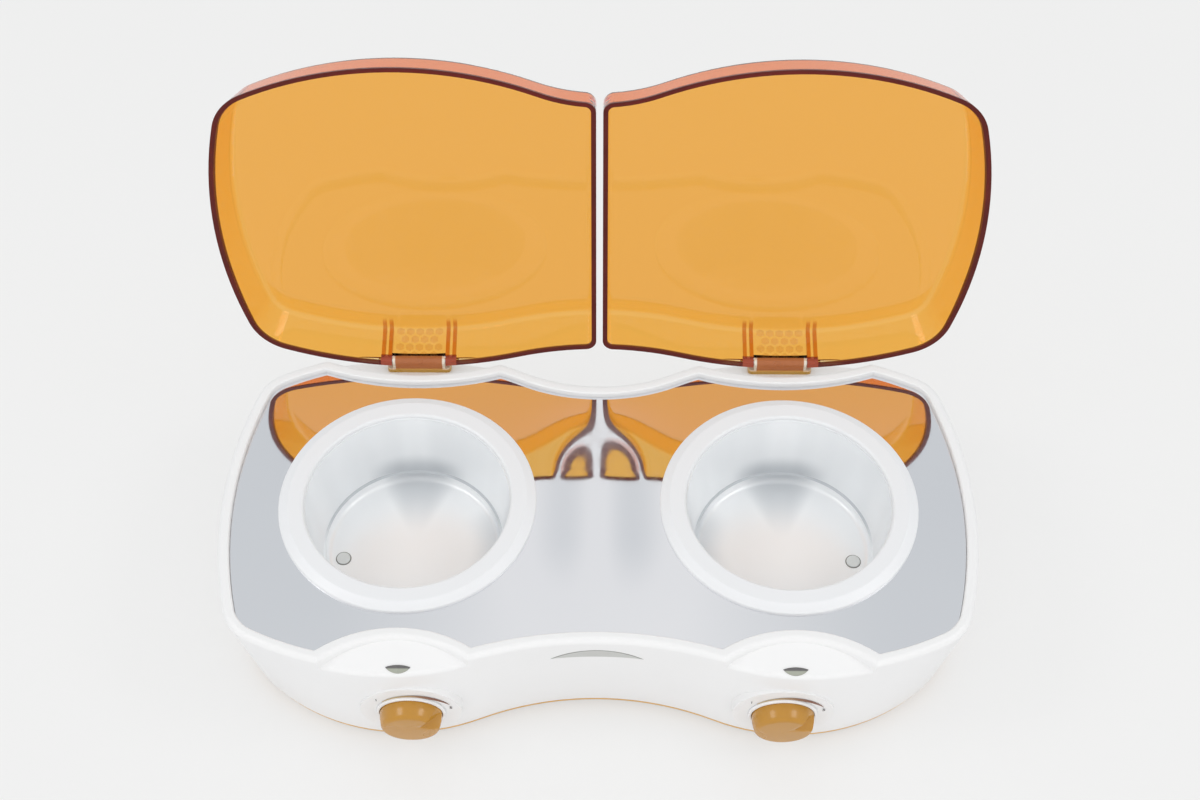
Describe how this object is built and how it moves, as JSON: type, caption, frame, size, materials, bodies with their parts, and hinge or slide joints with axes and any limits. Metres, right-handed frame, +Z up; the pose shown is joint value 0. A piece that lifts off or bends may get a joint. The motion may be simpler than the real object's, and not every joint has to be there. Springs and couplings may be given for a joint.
{
  "type": "double wax warmer",
  "caption": "Figure-eight tabletop wax warmer with heated wells, a front knob for each and see-through amber lids hinged at the back, standing open.",
  "frame": {"origin": "on the table, below the centre of the overall box with both lids open", "axes": "+X to the right as seen from the front, along the line through both wells, +Y to the back, +Z up"},
  "size_m": [0.378, 0.236, 0.2637],
  "materials": {
    "white_plastic": "smooth moulded plastic",
    "gold_plastic": "mustard gold moulded plastic with a soft gloss",
    "amber_plastic": "clear amber moulded plastic",
    "polished_steel": "polished sheet, slightly wavy",
    "satin_silver": "satin silver",
    "aluminium": "satin drawn aluminium",
    "steel": "plated",
    "dark_plastic": "matt heat-resistant plastic",
    "pale_plastic": "matt",
    "smoked_lens": "smoked clear plastic",
    "lamp_glass": "small neon lamp",
    "dark_rubber": "matt rubber",
    "wire_sleeve": "heat-resistant sleeve"
  },
  "bodies": {
    "base": {"base_screws": "steel", "base_tray": "gold_plastic", "clamp_nut_left": "steel", "clamp_nut_right": "steel", "cord_gland": "dark_rubber", "deck_frame": "white_plastic", "deck_plate": "polished_steel", "front_plate": "satin_silver", "heater_clamp_left": "steel", "heater_clamp_right": "steel", "heater_plate_left": "aluminium", "heater_plate_right": "aluminium", "hinge_block_left": "gold_plastic", "hinge_block_right": "gold_plastic", "hinge_pin_left": "steel", "hinge_pin_right": "steel", "hinge_screws": "steel", "indicator_lamp_left": "lamp_glass", "indicator_lamp_right": "lamp_glass", "indicator_lens_left": "smoked_lens", "indicator_lens_right": "smoked_lens", "lamp_holder_left": "dark_plastic", "lamp_holder_right": "dark_plastic", "ring_screws": "steel", "rubber_feet": "dark_rubber", "sensor_button_left": "steel", "sensor_button_right": "steel", "sensor_nut_left": "steel", "sensor_nut_right": "steel", "terminal_block": "pale_plastic", "terminal_screws": "steel", "thermal_fuse_left": "steel", "thermal_fuse_right": "steel", "thermostat_left": "dark_plastic", "thermostat_nut_left": "steel", "thermostat_nut_right": "steel", "thermostat_right": "dark_plastic", "upper_housing": "white_plastic", "well_pot_left": "aluminium", "well_pot_right": "aluminium", "well_ring_left": "white_plastic", "well_ring_right": "white_plastic", "wire_loom_left": "wire_sleeve", "wire_loom_right": "wire_sleeve"},
    "left_lid": {"lid_left": "amber_plastic"},
    "right_lid": {"lid_right": "amber_plastic"},
    "left_knob": {"knob_left": "gold_plastic", "thermostat_shaft_left": "steel"},
    "right_knob": {"knob_right": "gold_plastic", "thermostat_shaft_right": "steel"}
  },
  "joints": [
    {"name": "left_lid_hinge", "type": "hinge", "parent": "base", "child": "left_lid", "pos_m": [-0.0944, 0.07262, 0.0822], "axis": [1, 0, 0], "range_deg": [0, 99]},
    {"name": "right_lid_hinge", "type": "hinge", "parent": "base", "child": "right_lid", "pos_m": [0.0944, 0.07262, 0.0822], "axis": [1, 0, 0], "range_deg": [0, 99]},
    {"name": "left_knob_turn", "type": "hinge", "parent": "base", "child": "left_knob", "pos_m": [-0.0905, -0.10553, 0.032], "axis": [0, -0.9962, -0.0872], "range_deg": [-9, 120]},
    {"name": "right_knob_turn", "type": "hinge", "parent": "base", "child": "right_knob", "pos_m": [0.0905, -0.10553, 0.032], "axis": [0, -0.9962, -0.0872], "range_deg": [-9, 120]}
  ]
}
